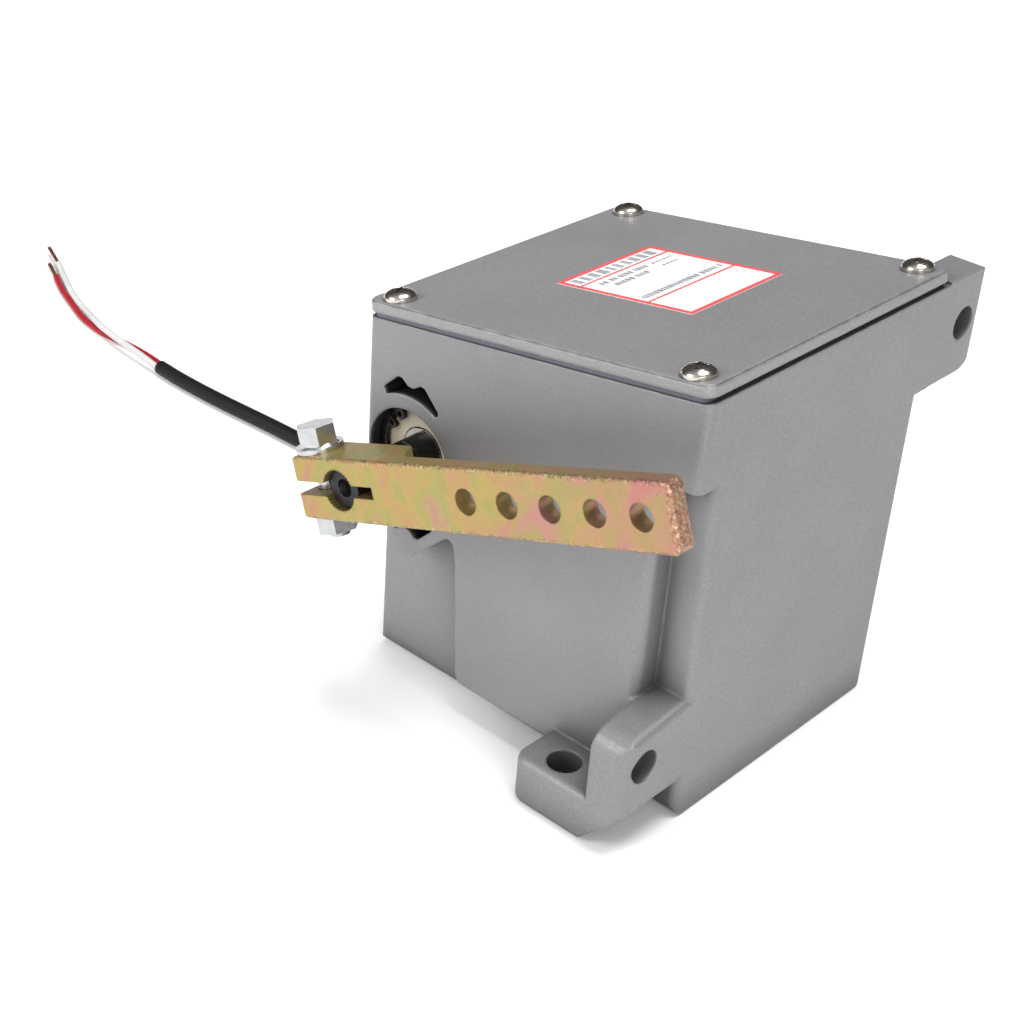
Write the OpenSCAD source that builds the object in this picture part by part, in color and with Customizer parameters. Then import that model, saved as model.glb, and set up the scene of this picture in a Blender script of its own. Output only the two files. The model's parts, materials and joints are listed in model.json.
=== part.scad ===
// Rotary electric actuator for an engine governor: a cast box with an inclined
// cover, a ball-bearing output shaft with a slotted clamp lever, and a swing
// armature that an electromagnet pulls against a torsion return spring.
// Origin: middle of the base face. +X right along the lever side, +Z up,
// the lever side faces -Y.

/* [Housing] */
// Left wall of the box
left_x = -53.9; // [-56:0.1:-52]
// Right wall of the box, a machined mounting face
right_x = 46.7; // [45:0.1:49]
// Front face of the raised pad and of the shaft boss
pad_y = -49.2; // [-51:0.1:-48]
// Front wall of the box beside the raised pad
front_y = -41.5; // [-43:0.1:-40]
// Rear wall of the box
rear_y = 40; // [39:0.1:43]
// Rear face of the thicker block under the cover
ledge_y = 46; // [45.5:0.1:48]
// Underside of that rear block
ledge_z = 87.6; // [84:0.1:90]
// Thickness of the cast walls
wall = 4.5; // [3.5:0.1:4.6]
// Radius of the cast outer edges
edge_r = 2.5; // [1:0.1:3]
// Height of the cover's top at the right wall
cover_top_z = 118.8; // [116:0.1:122]
// Tilt of the cover, rising to the right
tilt = 9; // [6:0.5:10]

/* [Lugs] */
// Diameter of the four mounting holes
lug_hole_d = 8.7; // [8:0.1:9]
// Front end of the two front lugs
lug_y = -64; // [-66:0.1:-63]
// Thickness of the base lugs
base_lug_h = 13.2; // [11:0.1:15]
// Thickness of the side lug and of the rear ear
side_lug_t = 10.2; // [9:0.1:12]
// Centre of the front base hole: across, front to back
base_hole = [24.3, -57];
// Centre of the rear base hole
rear_base_hole = [-30.5, 47.8];
// Centre of the front side hole: front to back, height
side_hole = [-56.2, 24.3];
// Centre of the ear hole: front to back, height
ear_hole = [55.9, 101.5];

/* [Cover] */
// Thickness of the cover plate
cover_t = 2.8; // [2:0.1:3.2]
// Thickness of the gasket
gasket_t = 1.5; // [1:0.1:2]
// Length of the cover along its slope
cover_l = 101.9; // [101:0.1:103]
// Diameter of the cover screw heads
screw_head_d = 8; // [7:0.1:9]

/* [Shaft] */
// Shaft centre: across, height
shaft = [-38.7, 65.5];
// Shaft diameter in the bearings and the lever
shaft_d = 10; // [9:0.1:10]
// Outer diameter of the two ball bearings
bearing_d = 26; // [25:0.1:26]
// Width of a ball bearing
bearing_w = 8; // [7:0.1:8]
// Depth of the front bearing behind the pad face
bearing_depth = 5; // [4:0.1:6]

/* [Lever] */
// Lever angle above the horizontal at rest
lever_angle = 20.4; // [0:0.1:30]
// Width of the lever bar
lever_w = 16; // [14:0.1:18]
// Thickness of the lever bar
lever_t = 4.8; // [4:0.1:6]
// Front plane of the lever
lever_y = -72.3; // [-76:0.1:-71]
// Depth of the clamp block around the shaft
clamp_t = 12.3; // [10:0.1:12.5]
// Distance from the shaft to the free end
lever_l = 102.3; // [101:0.1:110]
// Distance from the shaft to the split end
split_l = 15.2; // [14:0.1:17]
// Diameter of the five linkage holes
link_d = 6.35; // [5:0.05:7]
// Distance from the shaft to the first linkage hole
link_first = 42.8; // [38:0.1:44]
// Pitch of the linkage holes
link_pitch = 12.7; // [11:0.1:13]

/* [Armature] */
// Swing of the shaft from rest to the energised stop
swing = 25; // [20:1:25]
// Half depth of the armature and of the laminated core
stack = 16; // [12:0.5:16]
// Thickness of the armature arm
arm_t = 12; // [10:0.5:13]
// Length of the armature arm below the shaft
arm_l = 54; // [50:0.5:56]
// Gap between the armature and the poles at the end of the swing
pole_gap = 1; // [0.6:0.1:1.5]
// Height of each pole leg
leg_h = 12; // [10:0.5:13]

/* [Cable] */
// Diameter of the cable jacket
jacket_d = 4.7; // [4:0.1:5]
// Diameter of each insulated wire
wire_d = 2.2; // [1.8:0.1:2.2]
// Diameter of the bare copper bundle in each wire
strand_d = 1.4; // [1:0.1:1.5]

/* [Hidden] */
$fn = 48;
eps = 0.01;
shaft_x = shaft[0];
shaft_z = shaft[1];
rim_drop = cover_t + gasket_t;
pad_left_top = [-21.5, 46.3];
pad_left_low = [-18.8, 9.7];
notch_x = right_x - side_lug_t;
notch_top_z = 92.6;
notch_low_z = 35;
pad_low_z = 9.7;
bottom_r = 4.5;
screw_s = [7, 95.5];
screw_y = [-44.8, 40.8];
screw_r = 2;
seat_front = pad_y + bearing_depth;
seat_back = seat_front + bearing_w;
rear_seat_back = 37.5;
washer_t = 0.5;
rear_seat_front = rear_seat_back - washer_t - bearing_w;
boss_r = 17;
ring_t = 1.2;
inner_ring_r = 7.2;
lip_r = 6.4;
seal_r0 = 6.7;
seal_r1 = 11;
ball_r = 2.3;
pitch_r = 9.1;
ball_count = 7;
teeth = 36;
core_right = right_x - wall - 2;
yoke_w = 14;
low_leg_z = 14;
high_leg_z = 42;
winding_t = 8;
gland_y = 12.8;
gland_z = 12;
gland_hole_r = 5;
bolt_u = -11;
bolt_y = -66;
bolt_r = 2.5;
lever_mid_y = lever_y + clamp_t;

// Route of the jacket: out of the gland, down to the surface and along it
jacket_route = [
    [-71, 12.8, 12], [-77, 12.8, 12], [-83, 12.9, 11], [-89, 13, 8.8],
    [-95, 13.2, 6], [-101, 13.4, 3.9], [-108, 13.7, 2.7], [-116, 14, 2.4],
    [-127, 14.4, 2.4], [-138, 14.6, 2.4], [-149, 14.4, 2.4], [-160, 14, 2.4],
    [-171, 13.4, 2.4], [-182, 12.8, 2.4], [-193, 12.5, 2.4], [-204, 12.6, 2.4],
    [-214, 13.2, 2.4]
];
// Route of the white wire from the jacket's end, over the red one
white_route = [
    [-214, 12.1, 2.4], [-220, 12.6, 2.9], [-226, 13, 3.3], [-232, 13.6, 3.4],
    [-238, 14.3, 3.4], [-244, 15.2, 3.4], [-250, 16.3, 3.3], [-256, 18.1, 3],
    [-262, 20, 2.7], [-268, 21.8, 2.6], [-274, 23.8, 2.6], [-280, 26.2, 2.6],
    [-286, 29, 2.6], [-292, 31.9, 2.6], [-298, 34.9, 2.6], [-303, 37.4, 2.6]
];
// Route of the red wire from the jacket's end
red_route = [
    [-214, 14.3, 2.4], [-220, 15.5, 1.9], [-226, 16.4, 1.5], [-232, 16.9, 1.2],
    [-238, 16.9, 1.1], [-244, 16.5, 1.1], [-250, 16.2, 1.1], [-256, 16.9, 1.1],
    [-262, 18, 1.1], [-268, 19.8, 1.1], [-274, 22, 1.1], [-280, 24.2, 1.1],
    [-286, 26.5, 1.1], [-292, 29.3, 1.1], [-297, 31.8, 1.1]
];
// Bare copper past the end of each wire
white_strand_route = [[-303, 37.4, 2.6], [-308, 39.6, 2.6], [-313, 41.7, 2.6], [-317.3, 43.6, 2.6]];
red_strand_route = [[-297, 31.8, 1.1], [-301, 33.7, 1], [-305, 35.6, 0.9], [-308.5, 37.1, 0.8]];

// ---- shared shapes ----

function unit(v) = v / norm(v);

function turn(a) = a > 180 ? a - 360 : a < -180 ? a + 360 : a;

// Points that round corner b, between a and c, with radius r
function corner(a, b, c, r, n = 5) =
    let (u = unit(a - b), v = unit(c - b))
    let (half = acos(u * v) / 2)
    let (centre = b + unit(u + v) * r / sin(half))
    let (p = b + u * r / tan(half) - centre, q = b + v * r / tan(half) - centre)
    let (start = atan2(p[1], p[0]), sweep = turn(atan2(q[1], q[0]) - start))
    [for (i = [0:n]) centre + r * [cos(start + sweep * i / n), sin(start + sweep * i / n)]];

// Outline through [x, y, corner radius] points
function rounded(p) = [
    for (i = [0:len(p) - 1])
        let (a = p[(i + len(p) - 1) % len(p)], b = p[i], c = p[(i + 1) % len(p)])
        each b[2] > 0
            ? corner([a[0], a[1]], [b[0], b[1]], [c[0], c[1]], b[2])
            : [[b[0], b[1]]]
];

function box_outline(x0, x1, y0, y1, r) =
    rounded([[x0, y0, r], [x1, y0, r], [x1, y1, r], [x0, y1, r]]);

// Prism along Y of an outline in X and Z
module prism_y(points, y0, y1) {
    translate([0, y1, 0]) rotate([90, 0, 0]) linear_extrude(y1 - y0) polygon(points);
}

// Prism along X of an outline in Y and Z
module prism_x(points, x0, x1) {
    translate([x0, 0, 0]) rotate([90, 0, 90]) linear_extrude(x1 - x0) polygon(points);
}

// Prism along Z of an outline in X and Y
module prism_z(points, z0, z1) {
    translate([0, 0, z0]) linear_extrude(z1 - z0) polygon(points);
}

// Cylinder along Y centred on the output shaft
module on_shaft(r, y0, y1) {
    translate([shaft_x, y1, shaft_z]) rotate([90, 0, 0]) cylinder(h = y1 - y0, r = r);
}

// Ring along Y centred on the output shaft
module shaft_ring(r_out, r_in, y0, y1) {
    difference() {
        on_shaft(r_out, y0, y1);
        on_shaft(r_in, y0 - 1, y1 + 1);
    }
}

// Frame of the cover: X along the slope, Z square to it, from the top right edge
module on_cover() {
    translate([right_x, 0, cover_top_z]) rotate([0, -tilt, 0]) children();
}

// Frame of the lever: X along the bar, Z across it
module on_lever() {
    translate([shaft_x, 0, shaft_z]) rotate([0, -lever_angle, 0]) children();
}

module at_cover_screws() {
    for (s = screw_s, y = screw_y) translate([-s, y, 0]) children();
}

// Six-sided prism along Z
module hexagon(across_flats, h) {
    cylinder(h = h, r = across_flats / sqrt(3), $fn = 6);
}

// Round tube of n sides swept along a route that never runs along up
module swept(route, d, n = 8, up = [0, 0, 1]) {
    last = len(route) - 1;
    dir = [for (i = [0:last]) unit(route[min(i + 1, last)] - route[max(i - 1, 0)])];
    side = [for (t = dir) unit(cross(up, t))];
    rings = [
        for (i = [0:last], k = [0:n - 1])
            route[i] + d / 2 * (cos(360 * k / n) * side[i]
                + sin(360 * k / n) * cross(dir[i], side[i]))
    ];
    skin = [
        for (i = [0:last - 1], k = [0:n - 1])
            [i * n + k, i * n + (k + 1) % n, (i + 1) * n + (k + 1) % n, (i + 1) * n + k]
    ];
    caps = [[for (k = [0:n - 1]) n - 1 - k], [for (k = [0:n - 1]) last * n + k]];
    polyhedron(rings, concat(skin, caps));
}

// ---- housing ----

// Outline of the pad that carries the lever side, from the notch to its left edge
module raised_pad() {
    intersection() {
        prism_y(rounded([
            [pad_left_top[0], 110, 0], [pad_left_top[0], pad_left_top[1], 0],
            [pad_left_low[0], pad_left_low[1], 3], [notch_x, 0, 0], [notch_x, 110, 0]
        ]), pad_y, front_y + 5);
        prism_x([
            [pad_y, pad_low_z], [front_y, 1.6], [front_y + 5, 1.6], [front_y + 5, 110],
            [pad_y, 110]
        ], left_x, right_x);
        prism_z(box_outline(left_x - 20, notch_x, pad_y, rear_y, edge_r), 0, 120);
    }
}

// V-shaped foot of the shaft boss, level with the pad
module shaft_boss() {
    intersection() {
        prism_y(rounded([
            [left_x, 110, 0], [left_x, 54, 0], [-38.2, 36.8, 3], [-22.4, 51.4, 2],
            [pad_left_top[0], pad_left_top[1] - 2, 0], [-15, 45, 0], [-15, 110, 0]
        ]), pad_y, front_y + 5);
        prism_z(box_outline(left_x, right_x, pad_y, rear_y, edge_r), 30, 115);
    }
}

// Main box, then the thicker block under the cover
module outer_box() {
    intersection() {
        prism_z(box_outline(left_x, right_x, front_y, rear_y, edge_r), 0, 125);
        prism_y(rounded([
            [left_x, 0, bottom_r], [right_x, 0, 0.6], [right_x, 125, 0], [left_x, 125, 0]
        ]), -60, 60);
        prism_x(rounded([
            [front_y, 0, bottom_r], [rear_y, 0, bottom_r], [rear_y, 125, 0],
            [front_y, 125, 0]
        ]), left_x - 1, right_x + 1);
    }
    intersection() {
        prism_z(box_outline(left_x, right_x, pad_y, ledge_y, edge_r), 80, 125);
        prism_x(rounded([
            [pad_y - 1, 125, 0], [pad_y - 1, notch_top_z, 0], [front_y + 4, notch_top_z, 0],
            [front_y + 8, ledge_z, 0], [ledge_y, ledge_z, 2], [ledge_y, 125, 0]
        ]), left_x - 1, right_x + 1);
    }
}

// Flat lug on the base, with rolled edges and round corners
module base_lug(x0, x1, y0, y1) {
    corner_r = 4.5;
    roll = 1.8;
    prism_x(box_outline(y0, y1, 0, base_lug_h, roll), x0 + corner_r, x1 - corner_r);
    prism_y(box_outline(x0, x1, 0, base_lug_h, roll), y0 + corner_r, y1 - corner_r);
    for (x = [x0 + corner_r, x1 - corner_r], y = [y0 + corner_r, y1 - corner_r])
        translate([x, y, 0]) rotate_extrude() polygon(rounded([
            [0, 0, 0], [corner_r, 0, roll], [corner_r, base_lug_h, roll], [0, base_lug_h, 0]
        ]));
}

// Upright lug beside the notch, with a sloping top
module side_lug() {
    intersection() {
        prism_x(rounded([
            [front_y + 4, 0, 0], [lug_y, 0, 2], [lug_y, 32, 6], [front_y, 35, 0],
            [front_y + 4, 35, 0]
        ]), notch_x - 6, right_x);
        translate([0, lug_y, 32]) rotate([7.6, 0, 0]) prism_y(rounded([
            [notch_x - 6, -50, 0], [right_x, -50, 0], [right_x, 0, 2], [notch_x - 6, 0, 0]
        ]), -10, 60);
        prism_z(rounded([
            [notch_x - 6, front_y + 4, 0], [notch_x - 6, lug_y + 6, 0],
            [notch_x, lug_y, 3], [right_x, lug_y, 5.5], [right_x, front_y + 4, 0]
        ]), 0, 40);
    }
}

// Both front lugs, chamfered under their right edge
module front_lugs() {
    intersection() {
        union() {
            base_lug(base_hole[0] - 10.9, notch_x + 4, lug_y, front_y + 6);
            side_lug();
        }
        prism_y(rounded([
            [0, 0, 0], [right_x - 12.2, 0, 5], [right_x, 12.2, 4], [right_x, 40, 0], [0, 40, 0]
        ]), lug_y - 1, front_y + 6);
    }
}

// Upright part of the side lug is narrower than its foot
module side_lug_trim() {
    prism_z([
        [notch_x - 7, lug_y - 1], [notch_x, lug_y - 1], [notch_x, pad_y],
        [notch_x - 7, pad_y]
    ], base_lug_h, 40);
}

// Ear at the upper rear corner of the mounting face
module rear_ear() {
    intersection() {
        prism_x(rounded([
            [rear_y - 4, 87.8, 0], [63.5, 87.8, 6], [63.5, 115, 3], [rear_y - 4, 115, 0]
        ]), right_x - side_lug_t, right_x);
        prism_z(rounded([
            [right_x - side_lug_t, rear_y - 4, 0], [right_x - side_lug_t, 63.5, 2],
            [right_x, 63.5, 2], [right_x, rear_y - 4, 0]
        ]), 80, 125);
    }
}

// Kidney pocket above (side = 1) or below (side = -1) the front bearing
module kidney(side) {
    outline = [
        [-9.1, 16.5], [-4.5, 21], [-3.1, 21.1], [-0.9, 19.6], [0.9, 19.6],
        [3.1, 21.1], [4.5, 21], [9.1, 16.5], [9.3, 15.6]
    ];
    arc = [for (i = [0:8]) let (a = 61 + 58 * i / 8) 16.9 * [cos(a), sin(a)]];
    translate([shaft_x, 0, shaft_z]) rotate([0, side > 0 ? 0 : 180, 0])
        prism_y(concat(outline, arc), pad_y - 1, pad_y + 9);
}

module housing() {
    color("#929193")
    difference() {
        union() {
            difference() {
                union() {
                    outer_box();
                    raised_pad();
                    shaft_boss();
                    front_lugs();
                    base_lug(rear_base_hole[0] - 11.5, rear_base_hole[0] + 11.5,
                        rear_y - 8, rear_base_hole[1] + 7);
                    rear_ear();
                }
                side_lug_trim();
                // cavity behind the walls, and the hollow of the raised pad
                translate([left_x + wall, front_y + wall, wall])
                    cube([right_x - left_x - 2 * wall, rear_y - front_y - 2 * wall, 150]);
                translate([-15, pad_y + wall, 14])
                    cube([notch_x - wall + 15, 20, 70]);
            }
            // bearing bosses inside the two walls
            intersection() {
                union() {
                    on_shaft(boss_r, pad_y + 2, seat_back + 3);
                    on_shaft(boss_r, rear_seat_front - 3.5, rear_y - 1);
                }
                translate([left_x + 1, -60, 0]) cube([100, 120, 150]);
            }
            // posts under the laminated core
            translate([core_right - yoke_w, -stack, wall - 1])
                cube([yoke_w, 2 * stack, low_leg_z - wall + 1]);
        }
        // space of the cover and the gasket
        on_cover() translate([-120, -60, -rim_drop]) cube([140, 60 + ledge_y + 0.2, 60]);
        on_cover() translate([-90, 0, -rim_drop]) cube([80, 80, 60]);
        // front bearing seat, snap ring groove and shaft passage
        on_shaft(bearing_d / 2 + 0.2, pad_y - 1, seat_front - ring_t - 0.1);
        on_shaft(bearing_d / 2, pad_y - 1, seat_back);
        on_shaft(bearing_d / 2 + 0.8, seat_front - ring_t - 0.1, seat_front);
        on_shaft(10.2, seat_front, seat_back + 4);
        // rear bearing seat
        on_shaft(bearing_d / 2, rear_seat_front - 4, rear_seat_back);
        kidney(1);
        kidney(-1);
        // tapped holes of the cover screws
        on_cover() at_cover_screws() translate([0, 0, -16]) cylinder(h = 16, r = screw_r);
        // mounting holes
        translate([base_hole[0], base_hole[1], -1])
            cylinder(h = base_lug_h + 2, d = lug_hole_d);
        translate([rear_base_hole[0], rear_base_hole[1], -1])
            cylinder(h = base_lug_h + 2, d = lug_hole_d);
        translate([notch_x - 1, side_hole[0], side_hole[1]]) rotate([0, 90, 0])
            cylinder(h = side_lug_t + 2, d = lug_hole_d);
        translate([notch_x - 1, ear_hole[0], ear_hole[1]]) rotate([0, 90, 0])
            cylinder(h = side_lug_t + 2, d = lug_hole_d);
        // cable gland hole, core screws and spring anchor
        translate([left_x - 1, gland_y, gland_z]) rotate([0, 90, 0])
            cylinder(h = wall + 2, r = gland_hole_r);
        core_screw_places() translate([0, 0, wall]) cylinder(h = 20, r = screw_r);
        spring_anchor_place() cylinder(h = 40, r = 2);
    }
}

// ---- cover ----

module cover_plan(inset, right_inset, r) {
    polygon(box_outline(-cover_l - 0.5 + inset, -0.5 - right_inset, pad_y - 0.3 + inset,
        ledge_y - 0.2 - inset, r));
}

module cover() {
    color("#8f9092")
    on_cover() difference() {
        union() {
            translate([0, 0, -cover_t]) linear_extrude(cover_t - 0.4) cover_plan(0, 0, 3);
            translate([0, 0, -0.4 - eps]) linear_extrude(0.4 + eps) cover_plan(0.4, 0.4, 2.6);
        }
        at_cover_screws() translate([0, 0, -10]) cylinder(h = 20, r = screw_r + 0.25);
    }
}

module cover_gasket() {
    color("#6f7680")
    on_cover() difference() {
        translate([0, 0, -rim_drop]) linear_extrude(gasket_t) cover_plan(1, 2, 2);
        translate([-cover_l + 5, front_y + wall + 1, -10])
            cube([cover_l - 10, rear_y - front_y - 2 * wall - 2, 20]);
        at_cover_screws() translate([0, 0, -10]) cylinder(h = 20, r = screw_r + 0.25);
    }
}

// Pan head screw with a cross recess, head down to z = 0
module pan_screw() {
    r = screw_head_d / 2;
    difference() {
        union() {
            translate([0, 0, -13]) cylinder(h = 13.5, r = screw_r);
            rotate_extrude() polygon(concat(
                [[0, 0], [r, 0], [r, 0.9]],
                [for (a = [15:15:90]) [(r - 0.6) * cos(a) + 0.6 * (1 - sin(a)),
                    0.9 + 1.7 * sin(a)]],
                [[0, 2.6]]
            ));
        }
        for (a = [20, 110]) rotate([0, 0, a])
            translate([-2.1, -0.45, 1]) cube([4.2, 0.9, 4]);
        translate([0, 0, 1]) cylinder(h = 4, r = 0.9);
    }
}

module cover_screws() {
    color("#c9c5bf") on_cover() at_cover_screws() pan_screw();
}

module nameplate() {
    color("white") on_cover() translate([-72, -15.5, 0]) cube([40.9, 35.7, 0.3]);
}

// ---- bearings and shaft ----

// Deep-groove race: the ring less the groove that the balls run in
module race(r_out, r_in, y0) {
    difference() {
        shaft_ring(r_out, r_in, y0, y0 + bearing_w);
        translate([shaft_x, y0 + bearing_w / 2, shaft_z]) rotate([90, 0, 0])
            rotate_extrude() translate([pitch_r, 0]) circle(r = ball_r + 0.05);
    }
}

module at_balls(y0) {
    for (i = [0:ball_count - 1])
        translate([shaft_x, y0 + bearing_w / 2, shaft_z])
            rotate([0, i * 360 / ball_count, 0]) translate([pitch_r, 0, 0]) children();
}

// Ring with a pocket around each ball
module cage(y0) {
    difference() {
        shaft_ring(pitch_r + 0.7, pitch_r - 0.7, y0 + 1.1, y0 + bearing_w - 1.1);
        at_balls(y0) sphere(r = ball_r + 0.1);
    }
}

module front_bearing_outer_ring() {
    color("#c4c2bd") race(bearing_d / 2, seal_r1, seat_front);
}

module front_bearing_inner_ring() {
    color("#c4c2bd") difference() {
        race(inner_ring_r, shaft_d / 2, seat_front);
        shaft_ring(inner_ring_r + 1, lip_r, seat_front - 1, seat_front + 1.2);
    }
}

module front_bearing_balls() {
    color("#d0d0d4") at_balls(seat_front) sphere(r = ball_r);
}

module front_bearing_cage() {
    color("#b59a5a") cage(seat_front);
}

module front_bearing_seal() {
    color("#cfc7a2") shaft_ring(seal_r1, seal_r0, seat_front + 0.2, seat_front + 1);
}

module rear_bearing_outer_ring() {
    color("#c4c2bd") race(bearing_d / 2, seal_r1, rear_seat_front);
}

module rear_bearing_inner_ring() {
    color("#c4c2bd") race(inner_ring_r, shaft_d / 2, rear_seat_front);
}

module rear_bearing_balls() {
    color("#d0d0d4") at_balls(rear_seat_front) sphere(r = ball_r);
}

module rear_bearing_cage() {
    color("#b59a5a") cage(rear_seat_front);
}

// Retaining ring with two eyes at its gap
module front_snap_ring() {
    gap_angle = 142;
    y0 = seat_front - ring_t;
    color("#2e2d2f")
    difference() {
        union() {
            shaft_ring(13.7, 11.6, y0, seat_front);
            for (a = [-11, 11]) translate([shaft_x, seat_front, shaft_z])
                rotate([90, 0, 0]) rotate([0, 0, gap_angle + a]) translate([10.9, 0, 0])
                    cylinder(h = ring_t, r = 1.6);
        }
        translate([shaft_x, 0, shaft_z]) rotate([0, -gap_angle, 0])
            translate([9, y0 - 1, -1.2]) cube([6, 4, 2.4]);
        for (a = [-11, 11]) translate([shaft_x, seat_front + 1, shaft_z])
            rotate([90, 0, 0]) rotate([0, 0, gap_angle + a]) translate([10.9, 0, 0])
                cylinder(h = ring_t + 2, r = 0.8);
    }
}

module wave_washer() {
    color("#8d8f92") shaft_ring(12.6, 10.4, rear_seat_back - washer_t, rear_seat_back);
}

// Shaft with a serrated front end, a centre hole and a thicker middle
module output_shaft() {
    r = shaft_d / 2;
    end_y = lever_y + 1.9;
    color("#232224")
    difference() {
        union() {
            translate([shaft_x, seat_front - 6, shaft_z]) rotate([90, 0, 0])
                linear_extrude(seat_front - 6 - end_y) polygon([
                    for (i = [0:2 * teeth - 1])
                        (i % 2 == 0 ? r - 0.04 : r - 0.4)
                            * [cos(180 * i / teeth), sin(180 * i / teeth)]
                ]);
            on_shaft(r, seat_front - 6, rear_seat_back - 1);
            on_shaft(r + 1, seat_back, rear_seat_front);
        }
        translate([shaft_x, end_y - eps, shaft_z]) rotate([-90, 0, 0])
            cylinder(h = 5, r1 = 2.4, r2 = 0.6);
        translate([shaft_x - 20, 0, shaft_z]) rotate([0, 90, 0]) cylinder(h = 40, r = 2);
    }
}

// ---- lever ----

module lever() {
    r = shaft_d / 2;
    half_w = lever_w / 2;
    color("#c9a662")
    on_lever() difference() {
        intersection() {
            translate([0, 0, -half_w]) linear_extrude(lever_w) polygon(rounded([
                [-split_l, lever_y, 0.8], [lever_l, lever_y, 1.4],
                [lever_l, lever_y + lever_t, 0.5], [20, lever_y + lever_t, 4],
                [15, lever_mid_y, 1], [-split_l, lever_mid_y, 1]
            ]));
            prism_y(box_outline(-split_l, lever_l, -half_w, half_w, 2.2), lever_y - 1,
                lever_mid_y + 1);
            prism_x(box_outline(lever_y, lever_mid_y, -half_w, half_w, 0.8), -split_l - 1,
                lever_l + 1);
        }
        // serrated bore
        translate([0, lever_mid_y + 1, 0]) rotate([90, 0, 0]) linear_extrude(clamp_t + 2)
            polygon([
                for (i = [0:2 * teeth - 1])
                    (i % 2 == 0 ? r + 0.02 : r + 0.45)
                        * [cos(180 * i / teeth + 5), sin(180 * i / teeth + 5)]
            ]);
        // split towards the clamp bolt and blind slot on the other side
        translate([-split_l - 1, lever_y - 1, -1.7]) cube([split_l, clamp_t + 2, 3.4]);
        translate([2, lever_y - 1, -1.5]) cube([10, clamp_t + 2, 3]);
        // clamp bolt hole
        translate([bolt_u, bolt_y, -10]) cylinder(h = 20, r = bolt_r + 0.2);
        // linkage holes
        for (i = [0:4]) translate([link_first + i * link_pitch, lever_y - 1, 0])
            rotate([-90, 0, 0]) cylinder(h = lever_t + 2, d = link_d);
    }
}

// Flange bolt across the split end, head above the lever
module clamp_bolt() {
    color("#d5d8db")
    on_lever() translate([bolt_u, bolt_y, lever_w / 2]) {
        translate([0, 0, -lever_w - 6]) cylinder(h = lever_w + 6 + eps, r = bolt_r);
        cylinder(h = 1.2, r = 5.9);
        translate([0, 0, 1]) cylinder(h = 1, r1 = 5.2, r2 = 4.2);
        rotate([0, 0, 20]) hexagon(8.8, 6.2);
    }
}

module clamp_nut() {
    color("#d5d8db")
    on_lever() translate([bolt_u, bolt_y, -lever_w / 2 - 4.6]) difference() {
        rotate([0, 0, 10]) hexagon(9, 4.6);
        translate([0, 0, -1]) cylinder(h = 7, r = bolt_r);
    }
}

// ---- armature, magnet and spring ----

// Hub on the shaft with an arm that hangs beside the poles
module armature() {
    hub_r = 9.5;
    color("#6e7074")
    difference() {
        union() {
            on_shaft(hub_r, -stack, stack);
            translate([shaft_x - arm_t / 2, -stack + 1, shaft_z - arm_l])
                cube([arm_t, 2 * stack - 2, arm_l]);
        }
        on_shaft(shaft_d / 2 + 1, -30, 30);
        translate([shaft_x - 20, 0, shaft_z]) rotate([0, 90, 0]) cylinder(h = 40, r = 2);
    }
}

module armature_pin() {
    color("#9a9ca0")
    translate([shaft_x - 9, 0, shaft_z]) rotate([0, 90, 0]) cylinder(h = 18, r = 2);
}

// Where the pole face lies at height z, parallel to the arm at the end of its swing
function pole_x(z) =
    shaft_x + (arm_t / 2 + pole_gap + sin(swing) * (shaft_z - z)) / cos(swing);

// Laminated C-shaped core with two slanted poles
module stator_core() {
    top_z = high_leg_z + leg_h;
    color("#55585e")
    difference() {
        prism_y([
            [pole_x(low_leg_z), low_leg_z], [core_right, low_leg_z], [core_right, top_z],
            [pole_x(top_z), top_z], [pole_x(high_leg_z), high_leg_z],
            [core_right - yoke_w, high_leg_z], [core_right - yoke_w, low_leg_z + leg_h],
            [pole_x(low_leg_z + leg_h), low_leg_z + leg_h]
        ], -stack, stack);
        core_screw_places() translate([0, 0, -1]) cylinder(h = 80, r = screw_r + 0.2);
    }
}

module core_screw_places() {
    for (y = [-9, 9]) translate([core_right - yoke_w / 2, y, 0]) children();
}

module stator_screws() {
    top_z = high_leg_z + leg_h;
    color("#3a3a3e")
    core_screw_places() difference() {
        union() {
            translate([0, 0, wall + 1]) cylinder(h = top_z - wall, r = screw_r);
            translate([0, 0, top_z]) cylinder(h = 4, r = 3.5);
        }
        translate([0, 0, top_z + 2]) hexagon(3, 4);
    }
}

// Spool around the lower leg
module coil_bobbin() {
    x0 = pole_x(low_leg_z) + 3;
    x1 = core_right - yoke_w - 0.3;
    z0 = low_leg_z - 1;
    z1 = low_leg_z + leg_h + 1;
    color("#e8e2d0")
    difference() {
        union() {
            translate([x0, -stack - 1, z0]) cube([x1 - x0, 2 * stack + 2, z1 - z0]);
            for (x = [x0, x1 - 1.5]) translate([x, -stack - 1 - winding_t, z0 - winding_t])
                cube([1.5, 2 * (stack + 1 + winding_t), z1 - z0 + 2 * winding_t]);
        }
        translate([x0 - 1, -stack, low_leg_z]) cube([x1 - x0 + 2, 2 * stack, leg_h]);
    }
}

module coil_winding() {
    x0 = pole_x(low_leg_z) + 4.5;
    x1 = core_right - yoke_w - 1.8;
    z0 = low_leg_z - 1;
    z1 = low_leg_z + leg_h + 1;
    t = winding_t - 0.6;
    color("#a2562c")
    prism_x_hollow(x0, x1, [-stack - 1, stack + 1], [z0, z1], t);
}

// Rectangular winding of thickness t around an inner rectangle
module prism_x_hollow(x0, x1, y, z, t) {
    difference() {
        prism_x(box_outline(y[0] - t, y[1] + t, z[0] - t, z[1] + t, t), x0, x1);
        translate([x0 - 1, y[0], z[0]]) cube([x1 - x0 + 2, y[1] - y[0], z[1] - z[0]]);
    }
}

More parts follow.
